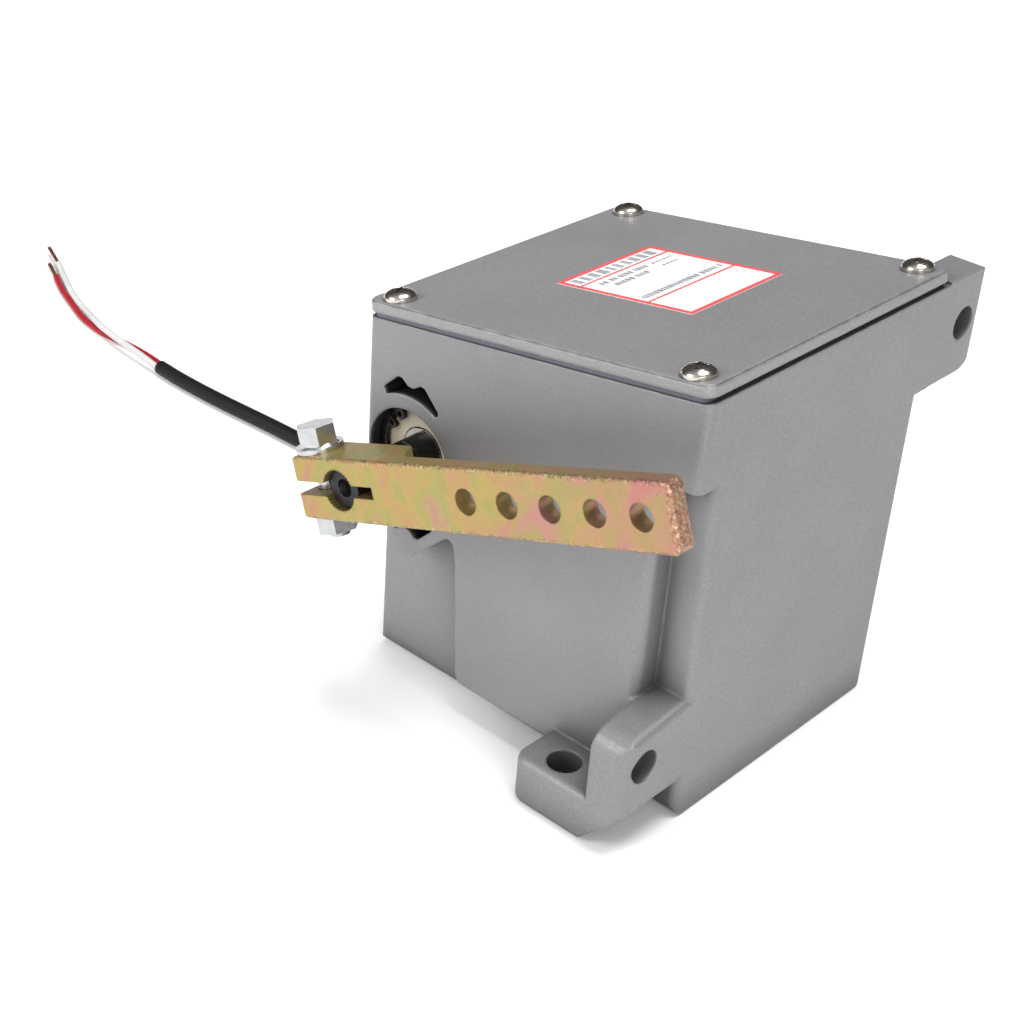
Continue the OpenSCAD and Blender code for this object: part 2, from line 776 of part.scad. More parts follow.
// Brass shim on the lower pole, which keeps the last gap open
module pole_shim() {
    t = pole_gap - 0.15;
    low = low_leg_z + 1;
    high = low_leg_z + leg_h - 1;
    color("#b8943f")
    prism_y([
        [pole_x(low), low], [pole_x(low) - t / cos(swing), low],
        [pole_x(high) - t / cos(swing), high], [pole_x(high), high]
    ], -stack + 2, stack - 2);
}

// Rubber stop on the left wall
module rest_bumper() {
    gap = 0.1;
    color("#1d1d1f")
    translate([left_x + wall, 0, shaft_z - arm_l + 10]) rotate([0, 90, 0])
        cylinder(h = shaft_x - arm_t / 2 - gap - left_x - wall, r = 4);
}

// Torsion spring behind the hub, with its fixed end out to the anchor
module return_spring() {
    turns = 3.25;
    steps = 78;
    y0 = stack + 1.4;
    coil_r = 10;
    pitch = 2.1;
    route = concat(
        [
            for (i = [0:steps])
                let (a = 360 * turns * i / steps)
                [shaft_x + coil_r * cos(a), y0 + pitch * turns * i / steps,
                    shaft_z + coil_r * sin(a)]
        ],
        [[shaft_x - 6, y0 + pitch * turns, shaft_z + coil_r],
            [shaft_x - 8.6, y0 + pitch * turns, shaft_z + coil_r]]
    );
    color("#b9bcc0") swept(route, 1.6, up = [0, 1, 0]);
}

// Axis of the anchor post, from inside to the rear wall
module spring_anchor_place() {
    translate([shaft_x + 2, 20, shaft_z + 21]) rotate([-90, 0, 0]) children();
}

module spring_anchor() {
    color("#9a9ca0") spring_anchor_place() cylinder(h = 18, r = 2);
}

// ---- electrics ----

module terminal_block() {
    color("#e6e3da")
    difference() {
        translate([-22, 27, wall]) cube([26, 8, 11]);
        for (x = [-15.5, -2.5]) translate([x, 31, wall + 4]) cylinder(h = 10, r = 2.2);
    }
}

// Threaded gland body with its sealing dome
module cable_gland() {
    color("#2a2a2c")
    translate([left_x, gland_y, gland_z]) rotate([0, -90, 0]) difference() {
        union() {
            translate([0, 0, -wall - 3.2]) cylinder(h = wall + 4.2, r = gland_hole_r);
            hexagon(14, 4);
            translate([0, 0, 4]) cylinder(h = 7, r = 6);
            translate([0, 0, 11]) cylinder(h = 6.1, r1 = 6, r2 = 3.6);
        }
        translate([0, 0, -20]) cylinder(h = 36, r = jacket_d / 2);
    }
}

module gland_nut() {
    color("#2a2a2c")
    translate([left_x + wall, gland_y, gland_z]) rotate([0, 90, 0]) difference() {
        rotate([0, 0, 30]) hexagon(14, 3);
        translate([0, 0, -1]) cylinder(h = 6, r = gland_hole_r);
    }
}

module cable_jacket() {
    color("#151515") swept(jacket_route, jacket_d, 10);
}

module wire_white() {
    color("#ececea") swept(white_route, wire_d);
}

module wire_red() {
    color("#b3262b") swept(red_route, wire_d);
}

module white_wire_strands() {
    color("#a5664a") swept(white_strand_route, strand_d);
}

module red_wire_strands() {
    color("#a5664a") swept(red_strand_route, strand_d);
}

housing();
cover();
cover_gasket();
cover_screws();
nameplate();
front_bearing_outer_ring();
front_bearing_inner_ring();
front_bearing_balls();
front_bearing_cage();
front_bearing_seal();
front_snap_ring();
rear_bearing_outer_ring();
rear_bearing_inner_ring();
rear_bearing_balls();
rear_bearing_cage();
wave_washer();
output_shaft();
lever();
clamp_bolt();
clamp_nut();
armature();
armature_pin();
stator_core();
stator_screws();
coil_bobbin();
coil_winding();
pole_shim();
rest_bumper();
return_spring();
spring_anchor();
terminal_block();
cable_gland();
gland_nut();
cable_jacket();
wire_white();
wire_red();
white_wire_strands();
red_wire_strands();
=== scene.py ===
"""Looks of the rotary electric governor actuator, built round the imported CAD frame.

Lengths are in metres. The CAD nodes keep their meshes and get procedural materials,
which round their sharp edges; the cable and the label are drawn again in finer detail.
"""

import json
import math
import random

import bmesh
import bpy
from mathutils import Matrix, Vector


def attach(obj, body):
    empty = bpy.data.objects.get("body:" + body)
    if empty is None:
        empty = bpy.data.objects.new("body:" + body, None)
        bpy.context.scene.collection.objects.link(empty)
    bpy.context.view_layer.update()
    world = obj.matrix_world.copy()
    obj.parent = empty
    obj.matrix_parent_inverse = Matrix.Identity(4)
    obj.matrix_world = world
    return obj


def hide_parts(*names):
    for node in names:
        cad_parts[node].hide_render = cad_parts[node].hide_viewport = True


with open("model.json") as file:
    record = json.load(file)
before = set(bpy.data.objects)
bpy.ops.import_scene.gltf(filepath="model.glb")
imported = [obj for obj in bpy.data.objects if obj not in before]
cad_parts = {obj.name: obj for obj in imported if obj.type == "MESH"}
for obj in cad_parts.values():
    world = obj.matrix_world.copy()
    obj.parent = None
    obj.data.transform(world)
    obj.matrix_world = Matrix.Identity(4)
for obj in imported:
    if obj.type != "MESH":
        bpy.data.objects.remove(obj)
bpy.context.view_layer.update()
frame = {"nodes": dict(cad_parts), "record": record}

MM = 0.001
SHAFT = Vector((-38.7, 0, 65.5)) * MM
LEVER_ANGLE = math.radians(20.4)
COVER_EDGE = Vector((46.7, 0, 118.8)) * MM
COVER_TILT = math.radians(9)


# ---- camera -----------------------------------------------------------------

CAMERA_PLACE = Vector((0.2409, -0.34127, 0.29382))
CAMERA_TURNS = (40.022, 30.844, 4.448)  # azimuth, elevation and roll, in degrees
CAMERA_LENS = 66.895  # focal length in millimetres, as the sensor's width is
SENSOR_WIDTH = 36


def make_camera():
    """Looks at the lever side from the right and above, slightly rolled."""
    azimuth, elevation, roll = (math.radians(a) for a in CAMERA_TURNS)
    back = Vector((math.sin(azimuth) * math.cos(elevation),
                   -math.cos(azimuth) * math.cos(elevation), math.sin(elevation)))
    level = Vector((math.cos(azimuth), math.sin(azimuth), 0))
    upright = back.cross(level)
    right = level * math.cos(roll) + upright * math.sin(roll)
    up = upright * math.cos(roll) - level * math.sin(roll)
    data = bpy.data.cameras.new("camera")
    data.lens = CAMERA_LENS
    data.sensor_width = SENSOR_WIDTH
    data.clip_start = 0.01
    data.clip_end = 20
    camera = bpy.data.objects.new("camera", data)
    camera.matrix_world = (Matrix.Translation(CAMERA_PLACE)
                           @ Matrix((right, up, back)).transposed().to_4x4())
    bpy.context.scene.collection.objects.link(camera)
    bpy.context.scene.camera = camera


# ---- node graph helpers -------------------------------------------------------

class Graph:
    """A material's node tree with short calls for the nodes used here."""

    def __init__(self, name):
        self.material = bpy.data.materials.new(name)
        self.material.use_nodes = True
        self.tree = self.material.node_tree
        self.shader = self.tree.nodes["Principled BSDF"]
        self.place = self.add("ShaderNodeTexCoord").outputs["Object"]

    def add(self, kind, inputs=None, **settings):
        node = self.tree.nodes.new(kind)
        for name, value in settings.items():
            setattr(node, name, value)
        for key, value in (inputs or {}).items():
            self.set(node.inputs[key], value)
        return node

    def set(self, socket, value):
        if isinstance(value, bpy.types.NodeSocket):
            self.tree.links.new(value, socket)
        else:
            socket.default_value = value

    def shade(self, **inputs):
        for key, value in inputs.items():
            self.set(self.shader.inputs[key.replace("_", " ")], value)

    def noise(self, scale, detail=3, rough=0.5, distortion=0.0, place=None):
        return self.add("ShaderNodeTexNoise", {
            "Vector": place or self.place, "Scale": scale, "Detail": detail,
            "Roughness": rough, "Distortion": distortion}).outputs["Fac"]

    def stretched(self, scale):
        return self.add("ShaderNodeMapping", {
            "Vector": self.place, "Scale": scale}).outputs["Vector"]

    def ramp(self, factor, stops):
        node = self.add("ShaderNodeValToRGB", {"Fac": factor})
        ramp = node.color_ramp
        while len(ramp.elements) < len(stops):
            ramp.elements.new(0.5)
        for element, (position, color) in zip(ramp.elements, stops):
            element.position = position
            element.color = (*color, 1)
        return node.outputs["Color"]

    def range(self, factor, low, high, new_low, new_high):
        return self.add("ShaderNodeMapRange", {
            "Value": factor, "From Min": low, "From Max": high,
            "To Min": new_low, "To Max": new_high}).outputs["Result"]

    def mix(self, factor, a, b, blend="MIX"):
        node = self.add("ShaderNodeMix", data_type="RGBA", blend_type=blend)
        self.set(node.inputs[0], factor)
        self.set(node.inputs[6], a if isinstance(a, bpy.types.NodeSocket) else (*a, 1))
        self.set(node.inputs[7], b if isinstance(b, bpy.types.NodeSocket) else (*b, 1))
        return node.outputs[2]

    def math(self, operation, a, b):
        return self.add("ShaderNodeMath", {0: a, 1: b}, operation=operation).outputs[0]

    def bump(self, height, strength, distance, normal=None):
        inputs = {"Height": height, "Strength": strength, "Distance": distance}
        if normal is not None:
            inputs["Normal"] = normal
        return self.add("ShaderNodeBump", inputs).outputs["Normal"]

    def rounding(self, radius):
        return self.add("ShaderNodeBevel", {"Radius": radius}, samples=6).outputs["Normal"]

    def edge_mask(self, radius):
        """1 on sharp edges, 0 on open faces."""
        flat = self.add("ShaderNodeNewGeometry").outputs["Normal"]
        dot = self.add("ShaderNodeVectorMath", {0: self.rounding(radius), 1: flat},
                       operation="DOT_PRODUCT").outputs["Value"]
        return self.range(dot, 0.98, 0.80, 0, 1)

    def crevice(self, distance):
        """1 on open faces, falling to 0 in corners and under overhangs."""
        return self.add("ShaderNodeAmbientOcclusion", {"Distance": distance},
                        samples=8).outputs["AO"]

    def axis(self, name):
        return self.add("ShaderNodeSeparateXYZ", {"Vector": self.place}).outputs[name]


def times(color, factor):
    return tuple(min(1, c * factor) for c in color)


# ---- materials -----------------------------------------------------------------

# Each pair is where a mask starts and ends. The bearing seat and its two pockets:
# distance from the shaft, distance to its side, and Y at their mouth and their floor
RECESS_REACH = (0.0214, 0.0216)
RECESS_SIDE = (0.0140, 0.0142)
RECESS_MOUTH = (-0.0488, -0.0478)
RECESS_FLOOR = (-0.0350, -0.0345)
# The lever: Y just behind its front face, then how far from its middle the long edges
# begin, and how far from the shaft its free end begins
LEVER_FRONT = (-0.0716, -0.0710)
LEVER_EDGE = (0.0068, 0.0075)
LEVER_END = (0.1005, 0.1012)


def cast_paint(name, base):
    """Sprayed grey metallic paint on a fine cast skin, rubbed light at the edges, with painted shade
    in corners and in the bearing recess.
    """
    g = Graph(name)
    grain = g.noise(2600, 2, 0.6)
    cloud = g.noise(38, 4, 0.55)
    color = g.mix(g.range(cloud, 0.3, 0.7, 0, 1), times(base, 0.955), times(base, 1.045))
    darker = g.mix(1, color, (0.90, 0.90, 0.90), "MULTIPLY")
    lighter = g.mix(1, color, (1.09, 1.09, 1.09), "MULTIPLY")
    color = g.mix(g.range(grain, 0.38, 0.62, 0, 1), darker, lighter)
    patches = g.range(g.noise(260, 4), 0.42, 0.66, 0.1, 0.8)
    worn, recess_shade = (0.46, 0.46, 0.47), (0.010, 0.010, 0.011)
    color = g.mix(g.math("MULTIPLY", g.edge_mask(0.0007), patches), color, worn)
    # painted shade: in corners and under overhangs the paint darkens towards a fifth of its colour
    corner_shade = g.range(g.crevice(0.016), 0.28, 0.88, 0.86, 0)
    color = g.mix(corner_shade, color, times(base, 0.22))
    # painted shade: the walls of the bearing seat and its pockets go near black
    color = g.mix(bearing_recess(g), color, recess_shade)
    skin = g.math("ADD", g.math("MULTIPLY", grain, 0.6), g.noise(900, 3, 0.6))
    g.shade(Base_Color=color, Metallic=0.35,
            Roughness=g.range(g.noise(1200, 2), 0.3, 0.7, 0.42, 0.56),
            Normal=g.bump(skin, 0.42, 0.00014, g.rounding(0.0011)))
    g.shader.inputs["Specular IOR Level"].default_value = 0.45
    return g.material


def bearing_recess(g):
    """1 on the walls of the bearing seat and of its two pockets, which are painted near black as
    shade.
    """
    across = g.add("ShaderNodeVectorMath", {0: g.place, 1: tuple(SHAFT)}, operation="SUBTRACT")
    flat = g.add("ShaderNodeVectorMath", {0: across.outputs["Vector"], 1: (1, 0, 1)},
                 operation="MULTIPLY").outputs["Vector"]
    radius = g.add("ShaderNodeVectorMath", {0: flat}, operation="LENGTH").outputs["Value"]
    sideways = g.add("ShaderNodeSeparateXYZ", {"Vector": flat}).outputs["X"]
    near = g.math("MULTIPLY", g.range(radius, *RECESS_REACH, 1, 0),
                  g.range(g.math("ABSOLUTE", sideways, 0.0), *RECESS_SIDE, 1, 0))
    deep = g.math("MULTIPLY", g.range(g.axis("Y"), *RECESS_MOUTH, 0, 0.92),
                  g.range(g.axis("Y"), *RECESS_FLOOR, 1, 0))
    return g.math("MULTIPLY", near, deep)


def lever_zones(g):
    """Distance along the lever, and masks of its two long front edges and of its free end."""
    from_shaft = g.add("ShaderNodeVectorMath", {0: g.place, 1: tuple(SHAFT)},
                       operation="SUBTRACT").outputs["Vector"]
    local = g.add("ShaderNodeMapping", {
        "Vector": from_shaft, "Rotation": (0, LEVER_ANGLE, 0)}).outputs["Vector"]
    split = g.add("ShaderNodeSeparateXYZ", {"Vector": local}).outputs
    across = g.math("ABSOLUTE", split["Z"], 0.0)
    front = g.range(split["Y"], *LEVER_FRONT, 1, 0)
    edge = g.math("MULTIPLY", g.range(across, *LEVER_EDGE, 0, 1), front)
    return split["X"], edge, g.range(split["X"], *LEVER_END, 0, 1)


def chromate(name):
    """Yellow chromate on zinc: gold drifting to rose and green, with dark worn edges, painted glints
    along them and painted shade in its corners.
    """
    g = Graph(name)
    along, edge, free_end = lever_zones(g)
    drift = g.noise(1, 3, 0.5, 1.2, g.stretched((85, 85, 60)))
    mottle = g.noise(420, 5, 0.65, 0.3)
    tone = g.math("ADD", g.math("MULTIPLY", drift, 0.84), g.math("MULTIPLY", mottle, 0.16))
    gold = g.ramp(tone, [
        (0.36, (0.50, 0.26, 0.17)), (0.43, (0.49, 0.31, 0.13)), (0.50, (0.47, 0.35, 0.12)),
        (0.56, (0.36, 0.36, 0.11)), (0.62, (0.46, 0.33, 0.15)), (0.70, (0.48, 0.26, 0.19))])
    rose = g.ramp(tone, [
        (0.36, (0.50, 0.22, 0.19)), (0.44, (0.49, 0.26, 0.19)), (0.51, (0.46, 0.29, 0.15)),
        (0.56, (0.40, 0.31, 0.13)), (0.62, (0.48, 0.26, 0.19)), (0.70, (0.52, 0.25, 0.23))])
    wavering = g.math("ADD", along, g.range(g.noise(45, 2), 0.3, 0.7, -0.02, 0.02))
    color = g.mix(g.range(wavering, 0.034, 0.080, 0, 1), gold, rose)
    color = g.mix(1.0, color, (0.80, 0.78, 0.76), "MULTIPLY")
    specks = g.range(g.noise(1500, 3, 0.7), 0.62, 0.68, 0, 0.5)
    color = g.mix(specks, color, (0.20, 0.12, 0.07))
    rough_edge = g.math("MAXIMUM", edge, free_end)
    chips = g.range(g.noise(1100, 5, 0.7), 0.48, 0.60, 0, 0.62)
    glints = g.range(g.noise(1400, 3, 0.6), 0.54, 0.64, 0, 0.45)
    color = g.mix(g.math("MULTIPLY", free_end, 0.6), color, (0.40, 0.19, 0.12))
    color = g.mix(g.math("MULTIPLY", rough_edge, chips), color, (0.09, 0.055, 0.04))
    # painted highlight: pale gold glints in patches along the long edges and the free end
    color = g.mix(g.math("MULTIPLY", rough_edge, glints), color, (0.74, 0.66, 0.52))
    # painted shade: the lever darkens to a deep brown in its corners and under overhangs
    color = g.mix(g.range(g.crevice(0.006), 0.3, 0.8, 0.5, 0), color, (0.10, 0.06, 0.035))
    pits = g.math("ADD", g.noise(1100, 4, 0.7), g.math("MULTIPLY", mottle, 0.6))
    skin = g.add("ShaderNodeBump", {
        "Height": pits, "Strength": g.range(free_end, 0, 1, 0.22, 0.55), "Distance": 0.00018,
        "Normal": g.rounding(0.0006)}).outputs["Normal"]
    g.shade(Base_Color=color, Metallic=0.7, Roughness=g.range(mottle, 0.3, 0.7, 0.34, 0.48),
            Normal=skin)
    return g.material


def plated(name, base, rough, grain_scale=500):
    """Bright plated or ground metal with faint scratches."""
    g = Graph(name)
    grain = g.noise(grain_scale, 4, 0.6)
    scratch = g.noise(1, 2, 0.5, 0, g.stretched((240, 2400, 2400)))
    g.shade(Base_Color=g.mix(g.range(grain, 0.35, 0.65, 0, 1), times(base, 0.86), times(base, 1.06)),
            Metallic=1.0, Roughness=g.range(scratch, 0.3, 0.7, rough * 0.75, rough * 1.35),
            Normal=g.bump(grain, 0.12, 0.00008, g.rounding(0.0002)))
    return g.material


def dark_metal(name, base, rough):
    """Black-oxide or phosphate steel, a little lighter where it has rubbed."""
    g = Graph(name)
    grain = g.noise(1400, 3, 0.6)
    rub = g.math("MULTIPLY", g.edge_mask(0.0003), g.range(g.noise(500, 3), 0.45, 0.6, 0, 0.7))
    color = g.mix(g.range(grain, 0.35, 0.65, 0, 1), times(base, 0.7), times(base, 1.5))
    g.shade(Base_Color=g.mix(rub, color, (0.30, 0.29, 0.28)), Metallic=0.8,
            Roughness=g.range(grain, 0.3, 0.7, rough * 0.8, rough * 1.25),
            Normal=g.bump(grain, 0.15, 0.00008, g.rounding(0.0002)))
    return g.material


def moulded(name, base, rough, grain_scale=1500, strength=0.12, specular=0.5):
    """Moulded or extruded plastic or rubber with a fine skin."""
    g = Graph(name)
    grain = g.noise(grain_scale, 3, 0.55)
    cloud = g.noise(90, 3)
    g.shade(Base_Color=g.mix(g.range(cloud, 0.35, 0.65, 0, 1), times(base, 0.93), times(base, 1.07)),
            Roughness=g.range(grain, 0.3, 0.7, rough * 0.85, rough * 1.15),
            Normal=g.bump(grain, strength, 0.00008))
    g.shader.inputs["Specular IOR Level"].default_value = specular
    return g.material


def laminated(name, base):
    """Varnished stack of thin laminations, which run across Y."""
    g = Graph(name)
    lines = g.add("ShaderNodeTexWave", {"Vector": g.place, "Scale": 320.0, "Distortion": 0.4,
                                        "Detail": 1.0}, bands_direction="Y").outputs["Fac"]
    grain = g.noise(600, 3)
    color = g.mix(g.range(grain, 0.35, 0.65, 0, 1), times(base, 0.8), times(base, 1.2))
    g.shade(Base_Color=g.mix(lines, color, times(base, 0.55)), Metallic=0.7,
            Roughness=g.range(grain, 0.3, 0.7, 0.35, 0.55), Normal=g.bump(lines, 0.4, 0.0001))
    return g.material


def wound(name, base):
    """Enamelled copper turns side by side."""
    g = Graph(name)
    turns = g.add("ShaderNodeTexWave", {"Vector": g.place, "Scale": 420.0, "Distortion": 0.3,
                                        "Detail": 1.0}, bands_direction="X").outputs["Fac"]
    g.shade(Base_Color=g.mix(turns, times(base, 0.5), times(base, 1.2)), Metallic=0.6,
            Roughness=g.range(g.noise(500), 0.3, 0.7, 0.25, 0.4), Normal=g.bump(turns, 0.6, 0.0003))
    return g.material


def make_materials():
    grey = (0.262, 0.258, 0.264)
    return {
        # painted light and shade: housing and cover are one paint, the housing's copy at 0.83 of the
        # cover's brightness
        "cast_grey": cast_paint("cast_grey", times(grey, 0.83)),
        "cover_lit_grey": cast_paint("cover_lit_grey", grey),
        "gasket": moulded("gasket", (0.115, 0.125, 0.150), 0.6, 900),
        "nickel": plated("nickel", (0.56, 0.51, 0.46), 0.17),
        "zinc": plated("zinc", (0.47, 0.48, 0.49), 0.16, 300),
        "label": moulded("label", (0.84, 0.83, 0.84), 0.35, 700, 0.05),
        "label_red": moulded("label_red", (0.72, 0.085, 0.085), 0.38, 700, 0.05),
        "label_grey": moulded("label_grey", (0.25, 0.255, 0.27), 0.45, 700, 0.05),
        "bearing_steel": plated("bearing_steel", (0.30, 0.285, 0.27), 0.25, 700),
        "cage_brass": plated("cage_brass", (0.60, 0.42, 0.18), 0.3),
        "seal_cream": moulded("seal_cream", (0.46, 0.41, 0.31), 0.36, 800),
        "spring_black": dark_metal("spring_black", (0.030, 0.028, 0.028), 0.38),
        "shaft_black": dark_metal("shaft_black", (0.028, 0.027, 0.028), 0.42),
        "yellow_zinc": chromate("yellow_zinc"),
        "bright_steel": plated("bright_steel", (0.52, 0.52, 0.53), 0.3),
        "laminated_steel": laminated("laminated_steel", (0.20, 0.21, 0.23)),
        "coil_former": moulded("coil_former", (0.62, 0.57, 0.44), 0.5),
        "coil_wire": wound("coil_wire", (0.42, 0.14, 0.05)),
        "shim_brass": plated("shim_brass", (0.60, 0.42, 0.16), 0.35),
        "rubber_black": moulded("rubber_black", (0.018, 0.018, 0.018), 0.7, 900, 0.3),
        "terminal_plastic": moulded("terminal_plastic", (0.60, 0.58, 0.52), 0.5),
        "gland_black": moulded("gland_black", (0.022, 0.022, 0.024), 0.45, 700, 0.25),
        "jacket_black": moulded("jacket_black", (0.006, 0.006, 0.006), 0.5, 500, 0.3, 0.2),
        "wire_white": moulded("wire_white", (0.52, 0.52, 0.505), 0.5, 900, 0.12, 0.2),
        "wire_red": moulded("wire_red", (0.31, 0.010, 0.018), 0.42, 900, 0.12, 0.25),
        "copper": plated("copper", (0.42, 0.19, 0.11), 0.35, 900),
    }


# ---- mesh helpers ---------------------------------------------------------------

def link(name, mesh, material, body):
    """A new piece that rides on a body and wears the material it is given."""
    piece = bpy.data.objects.new(name, mesh)
    bpy.context.scene.collection.objects.link(piece)
    piece.data.materials.clear()
    piece.data.materials.append(material)
    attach(piece, body)
    return piece


def soften(mesh):
    """Smooth shading, except where two faces meet at more than 50 degrees."""
    mesh.shade_smooth()
    mesh.set_sharp_from_angle(angle=math.radians(50))


def mesh_from(name, build):
    mesh = bpy.data.meshes.new(name)
    bm = bmesh.new()
    build(bm)
    bm.normal_update()
    bm.to_mesh(mesh)
    bm.free()
    return mesh


# ---- cable ------------------------------------------------------------------------

# The same listed points as the CAD solids, in millimetres
JACKET = [(-71, 12.8, 12), (-77, 12.8, 12), (-83, 12.9, 11), (-89, 13, 8.8), (-95, 13.2, 6),
          (-101, 13.4, 3.9), (-108, 13.7, 2.7), (-116, 14, 2.4), (-127, 14.4, 2.4),
          (-138, 14.6, 2.4), (-149, 14.4, 2.4), (-160, 14, 2.4), (-171, 13.4, 2.4),
          (-182, 12.8, 2.4), (-193, 12.5, 2.4), (-204, 12.6, 2.4), (-214, 13.2, 2.4)]
WHITE = [(-214, 12.1, 2.4), (-220, 12.6, 2.9), (-226, 13, 3.3), (-232, 13.6, 3.4),
         (-238, 14.3, 3.4), (-244, 15.2, 3.4), (-250, 16.3, 3.3), (-256, 18.1, 3),
         (-262, 20, 2.7), (-268, 21.8, 2.6), (-274, 23.8, 2.6), (-280, 26.2, 2.6),
         (-286, 29, 2.6), (-292, 31.9, 2.6), (-298, 34.9, 2.6), (-303, 37.4, 2.6)]
RED = [(-214, 14.3, 2.4), (-220, 15.5, 1.9), (-226, 16.4, 1.5), (-232, 16.9, 1.2),
       (-238, 16.9, 1.1), (-244, 16.5, 1.1), (-250, 16.2, 1.1), (-256, 16.9, 1.1),
       (-262, 18, 1.1), (-268, 19.8, 1.1), (-274, 22, 1.1), (-280, 24.2, 1.1),
       (-286, 26.5, 1.1), (-292, 29.3, 1.1), (-297, 31.8, 1.1)]
WHITE_STRANDS = [(-303, 37.4, 2.6), (-308, 39.6, 2.6), (-313, 41.7, 2.6), (-317.3, 43.6, 2.6)]
RED_STRANDS = [(-297, 31.8, 1.1), (-301, 33.7, 1), (-305, 35.6, 0.9), (-308.5, 37.1, 0.8)]
JACKET_D = 0.0047
WIRE_D = 0.0022
STRAND_BUNDLE_D = 0.0014


def metres(route):
    return [Vector(p) * MM for p in route]


def smooth_route(points, per_span=6):
    """Catmull-Rom curve through the points."""
    out = []
    padded = [points[0] * 2 - points[1], *points, points[-1] * 2 - points[-2]]
    for i in range(len(points) - 1):
        a, b, c, d = padded[i:i + 4]
        for k in range(per_span):
            t = k / per_span
            out.append(0.5 * (2 * b + (c - a) * t + (2 * a - 5 * b + 4 * c - d) * t * t
                              + (3 * b - a - 3 * c + d) * t ** 3))
    return out + [points[-1]]


def square_to(path, i):
    """Two unit vectors square to the path at its point i; the first one is level."""
    ahead = (path[min(i + 1, len(path) - 1)] - path[max(i - 1, 0)]).normalized()
    side = Vector((0, 0, 1)).cross(ahead).normalized()
    return side, ahead.cross(side)


def tube(bm, path, radius, sides, wobble=0.0, seed=0):
    """Closed round tube along a path, uneven by the share that wobble gives."""
    rng = random.Random(seed)
    rings = []
    for i, point in enumerate(path):
        side, over = square_to(path, i)
        size = radius * (1 + wobble * (rng.random() - 0.5))
        rings.append([bm.verts.new(point + size * (math.cos(a) * side + math.sin(a) * over))
                      for a in (2 * math.pi * k / sides for k in range(sides))])
    for low, high in zip(rings, rings[1:]):
        for k in range(sides):
            n = (k + 1) % sides
            bm.faces.new((low[k], low[n], high[n], high[k]))
    bm.faces.new(reversed(rings[0]))
    bm.faces.new(rings[-1])


def cord_tube(name, route, diameter, slot, node, materials):
    path = smooth_route(metres(route))
    mesh = mesh_from(name, lambda bm: tube(bm, path, diameter / 2, 20))
    soften(mesh)
    piece = link(name, mesh, materials[slot], "root")
    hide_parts(node)
    return piece, path


def strands(name, route, node, materials):
    """Thin copper wires twisted round a middle one, fanning out a little."""
    path = smooth_route(metres(route), 5)
    strand_r = STRAND_BUNDLE_D / 6.3
    outer, twist, fan = 6, 3.2, 0.12

    def build(bm):
        for k in range(outer + 1):
            twisted = []
            for i, point in enumerate(path):
                t = i / (len(path) - 1)
                side, over = square_to(path, i)
                angle = 2 * math.pi * k / outer + twist * t
                away = 0 if k == outer else strand_r * 2.02 * (1 + fan * t)
                twisted.append(point + away * (math.cos(angle) * side + math.sin(angle) * over))
            shorter = 1 if k % 3 == 1 else 0
            tube(bm, twisted[:len(twisted) - shorter], strand_r, 10, 0.06, k)

    mesh = mesh_from(name, build)
    soften(mesh)
    piece = link(name, mesh, materials["copper"], "root")
    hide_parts(node)
    return piece


def make_cable(materials):
    white_ends = strands("white_copper", WHITE_STRANDS, "white_wire_strands", materials)
    red_ends = strands("red_copper", RED_STRANDS, "red_wire_strands", materials)
    for name, route, diameter, slot, node, ends in (
            ("jacket", JACKET, JACKET_D, "jacket_black", "cable_jacket", []),
            ("white_insulation", WHITE, WIRE_D, "wire_white", "wire_white", [white_ends]),
            ("red_insulation", RED, WIRE_D, "wire_red", "wire_red", [red_ends])):
        piece, path = cord_tube(name, route, diameter, slot, node, materials)


# ---- label ---------------------------------------------------------------------------

# Millimetres on the cover: along its slope (X), and front to back (Y)
LABEL_X = (-71.9, -31.2)
LABEL_Y = (-15.4, 20.1)
DIVIDERS_X = (-65.6, -45.1)
BARS_X = (-70.0, -66.4)
# Each row of dashes: X of its foot, its height, and the Y where it starts and ends
DASH_ROWS = ((-63.2, 1.7, -10.5, 6.5), (-60.0, 1.7, -8.5, 3.5), (-62.6, 0.7, 9.0, 16.5),
             (-59.6, 0.7, 9.5, 15.0), (-48.6, 1.8, -12.5, 17.0))
FILM_T = 0.00012
INK_T = 0.00004
BORDER = 0.0013
DIVIDER = 0.0007


def on_cover(x, y, z):
    """A point given along the cover's slope, front to back, and above its top."""
    turn = Matrix.Rotation(-COVER_TILT, 3, "Y")
    return COVER_EDGE + turn @ Vector((x, y, z))


def cover_slab(bm, x0, x1, y0, y1, z0, z1):
    corners = ((x0, y0), (x1, y0), (x1, y1), (x0, y1))
    low = [bm.verts.new(on_cover(x, y, z0)) for x, y in corners]
    high = [bm.verts.new(on_cover(x, y, z1)) for x, y in corners]
    bm.faces.new(reversed(low))
    bm.faces.new(high)
    for k in range(4):
        n = (k + 1) % 4
        bm.faces.new((low[k], low[n], high[n], high[k]))


def label_ink(bm, x0, x1, y0, y1):
    """A printed rectangle on top of the film."""
    cover_slab(bm, x0, x1, y0, y1, FILM_T, FILM_T + INK_T)


def label_bars(bm, rng, start, end):
    """Groups of three bars of uneven width, side by side."""
    y = start
    while y < end:
        for _ in range(3):
            width = rng.choice((0.0003, 0.0005, 0.0007))
            label_ink(bm, *(x * MM for x in BARS_X), y, y + width)
            y += width + 0.0002
        y += 0.0011


def label_dashes(bm, rng, x, size, start, end):
    """A row of short generic dashes, which stands for a line of lettering."""
    y = start * MM
    while y < end * MM:
        width = rng.uniform(0.0006, 0.0012)
        gap = 0.0004 if rng.random() > 0.15 else 0.0012
        label_ink(bm, x * MM, (x + size) * MM, y, y + width)
        y += width + gap


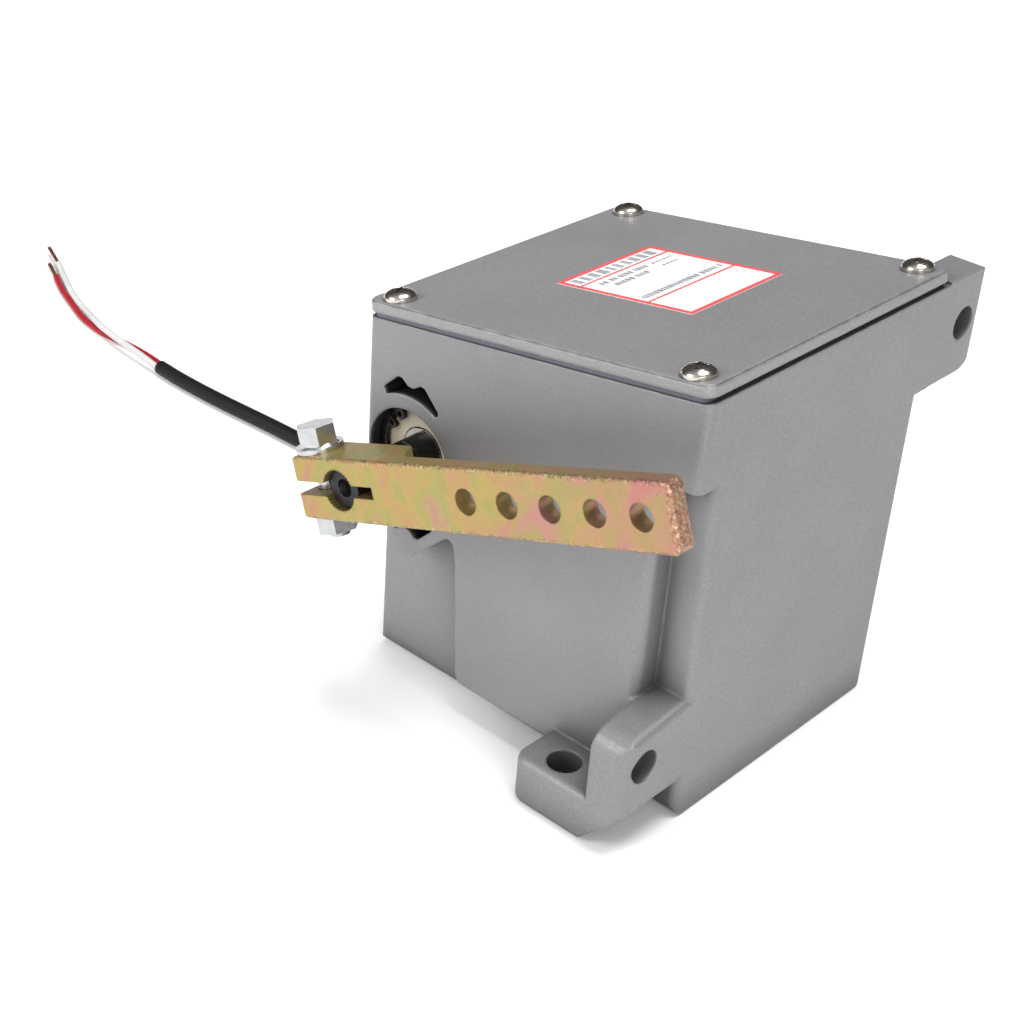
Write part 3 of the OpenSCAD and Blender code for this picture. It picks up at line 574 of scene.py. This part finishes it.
def make_label(materials):
    """White film with red lines and grey marks; it shows no lettering."""
    x0, x1, y0, y1 = (v * MM for v in (*LABEL_X, *LABEL_Y))

    def white(bm):
        cover_slab(bm, x0, x1, y0, y1, 0, FILM_T)

    def red(bm):
        label_ink(bm, x0, x1, y0, y0 + BORDER)
        label_ink(bm, x0, x1, y1 - BORDER, y1)
        label_ink(bm, x0, x0 + BORDER, y0 + BORDER, y1 - BORDER)
        label_ink(bm, x1 - BORDER, x1, y0 + BORDER, y1 - BORDER)
        for x in (v * MM for v in DIVIDERS_X):
            label_ink(bm, x, x + DIVIDER, y0 + BORDER, y1 - BORDER)

    def grey(bm):
        rng = random.Random(7)
        label_bars(bm, rng, y0 + BORDER + 0.0012, y1 - BORDER - 0.003)
        for row in DASH_ROWS:
            label_dashes(bm, rng, *row)

    label = link("label_film", mesh_from("label_film", white), materials["label"], "root")
    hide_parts("nameplate")
    link("label_lines", mesh_from("label_lines", red), materials["label_red"], "root")
    link("label_marks", mesh_from("label_marks", grey), materials["label_grey"], "root")


# ---- parts ---------------------------------------------------------------------------

def make_parts(materials):
    """Gives each CAD node the finish of its slot; the cover gets a lighter copy of the housing's
    paint as painted light.
    """
    slots = {row["node"]: row["material_slot"] for row in frame["record"]["subparts"]}
    for node, piece in frame["nodes"].items():
        material = materials["cover_lit_grey" if node == "cover" else slots[node]]
        if piece.data.materials:
            for index in range(len(piece.data.materials)):
                piece.data.materials[index] = material
        else:
            piece.data.materials.append(material)


# ---- stage -----------------------------------------------------------------------------

FLOOR_REACH = 30
FLOOR_DROP = 0.00005
LIGHT_SIZE = 0.6
LIGHT_TARGET = (0, 0, 0.06)
# The world is brightest in this direction; position on the ramp, then brightness
SKY_DIRECTION = (0.35, -0.75, 0.55)
SKY_STOPS = ((0.0, 0.10), (0.85, 0.75))


def area_light(name, place, power):
    data = bpy.data.lights.new(name, "AREA")
    data.shape = "SQUARE"
    data.size = LIGHT_SIZE
    data.energy = power
    light = bpy.data.objects.new(name, data)
    light.location = place
    aim = Vector(LIGHT_TARGET) - Vector(place)
    light.rotation_euler = aim.to_track_quat("-Z", "Y").to_euler()
    bpy.context.scene.collection.objects.link(light)


def sun_light(name, direction, strength, spread):
    """Even light over the whole floor, as wide as an overhead softbox."""
    data = bpy.data.lights.new(name, "SUN")
    data.energy = strength
    data.angle = math.radians(spread)
    light = bpy.data.objects.new(name, data)
    light.rotation_euler = Vector(direction).to_track_quat("Z", "Y").to_euler()
    bpy.context.scene.collection.objects.link(light)


def make_floor():
    def plane(bm):
        bmesh.ops.create_grid(bm, x_segments=1, y_segments=1, size=FLOOR_REACH)

    floor = bpy.data.objects.new("floor", mesh_from("floor", plane))
    bpy.context.scene.collection.objects.link(floor)
    floor.location.z = -FLOOR_DROP
    g = Graph("floor_white")
    g.shade(Base_Color=g.mix(g.noise(3, 2), (0.90, 0.90, 0.90), (0.93, 0.93, 0.93)), Roughness=0.9)
    g.shader.inputs["Specular IOR Level"].default_value = 0.1
    floor.data.materials.append(g.material)


def make_world():
    """Grey studio, lighter above the lever side."""
    world = bpy.data.worlds.new("studio")
    world.use_nodes = True
    tree = world.node_tree
    coord = tree.nodes.new("ShaderNodeTexCoord")
    facing = tree.nodes.new("ShaderNodeVectorMath")
    facing.operation = "DOT_PRODUCT"
    facing.inputs[1].default_value = SKY_DIRECTION
    ramp = tree.nodes.new("ShaderNodeValToRGB")
    for element, (position, value) in zip(ramp.color_ramp.elements, SKY_STOPS):
        element.position = position
        element.color = (value, value, value, 1)
    tree.links.new(coord.outputs["Generated"], facing.inputs[0])
    tree.links.new(facing.outputs["Value"], ramp.inputs["Fac"])
    tree.links.new(ramp.outputs["Color"], tree.nodes["Background"].inputs["Color"])
    bpy.context.scene.world = world


def make_stage():
    make_floor()
    make_world()
    area_light("key", (-0.55, -1.0, 0.75), 9)
    area_light("fill", (1.1, -0.75, 0.55), 8)
    sun_light("top", (0.07, 0.14, 1.0), 2.7, 32)
    bpy.context.scene.view_settings.view_transform = "Standard"


make_camera()
materials = make_materials()
make_cable(materials)
make_parts(materials)
make_label(materials)
make_stage()
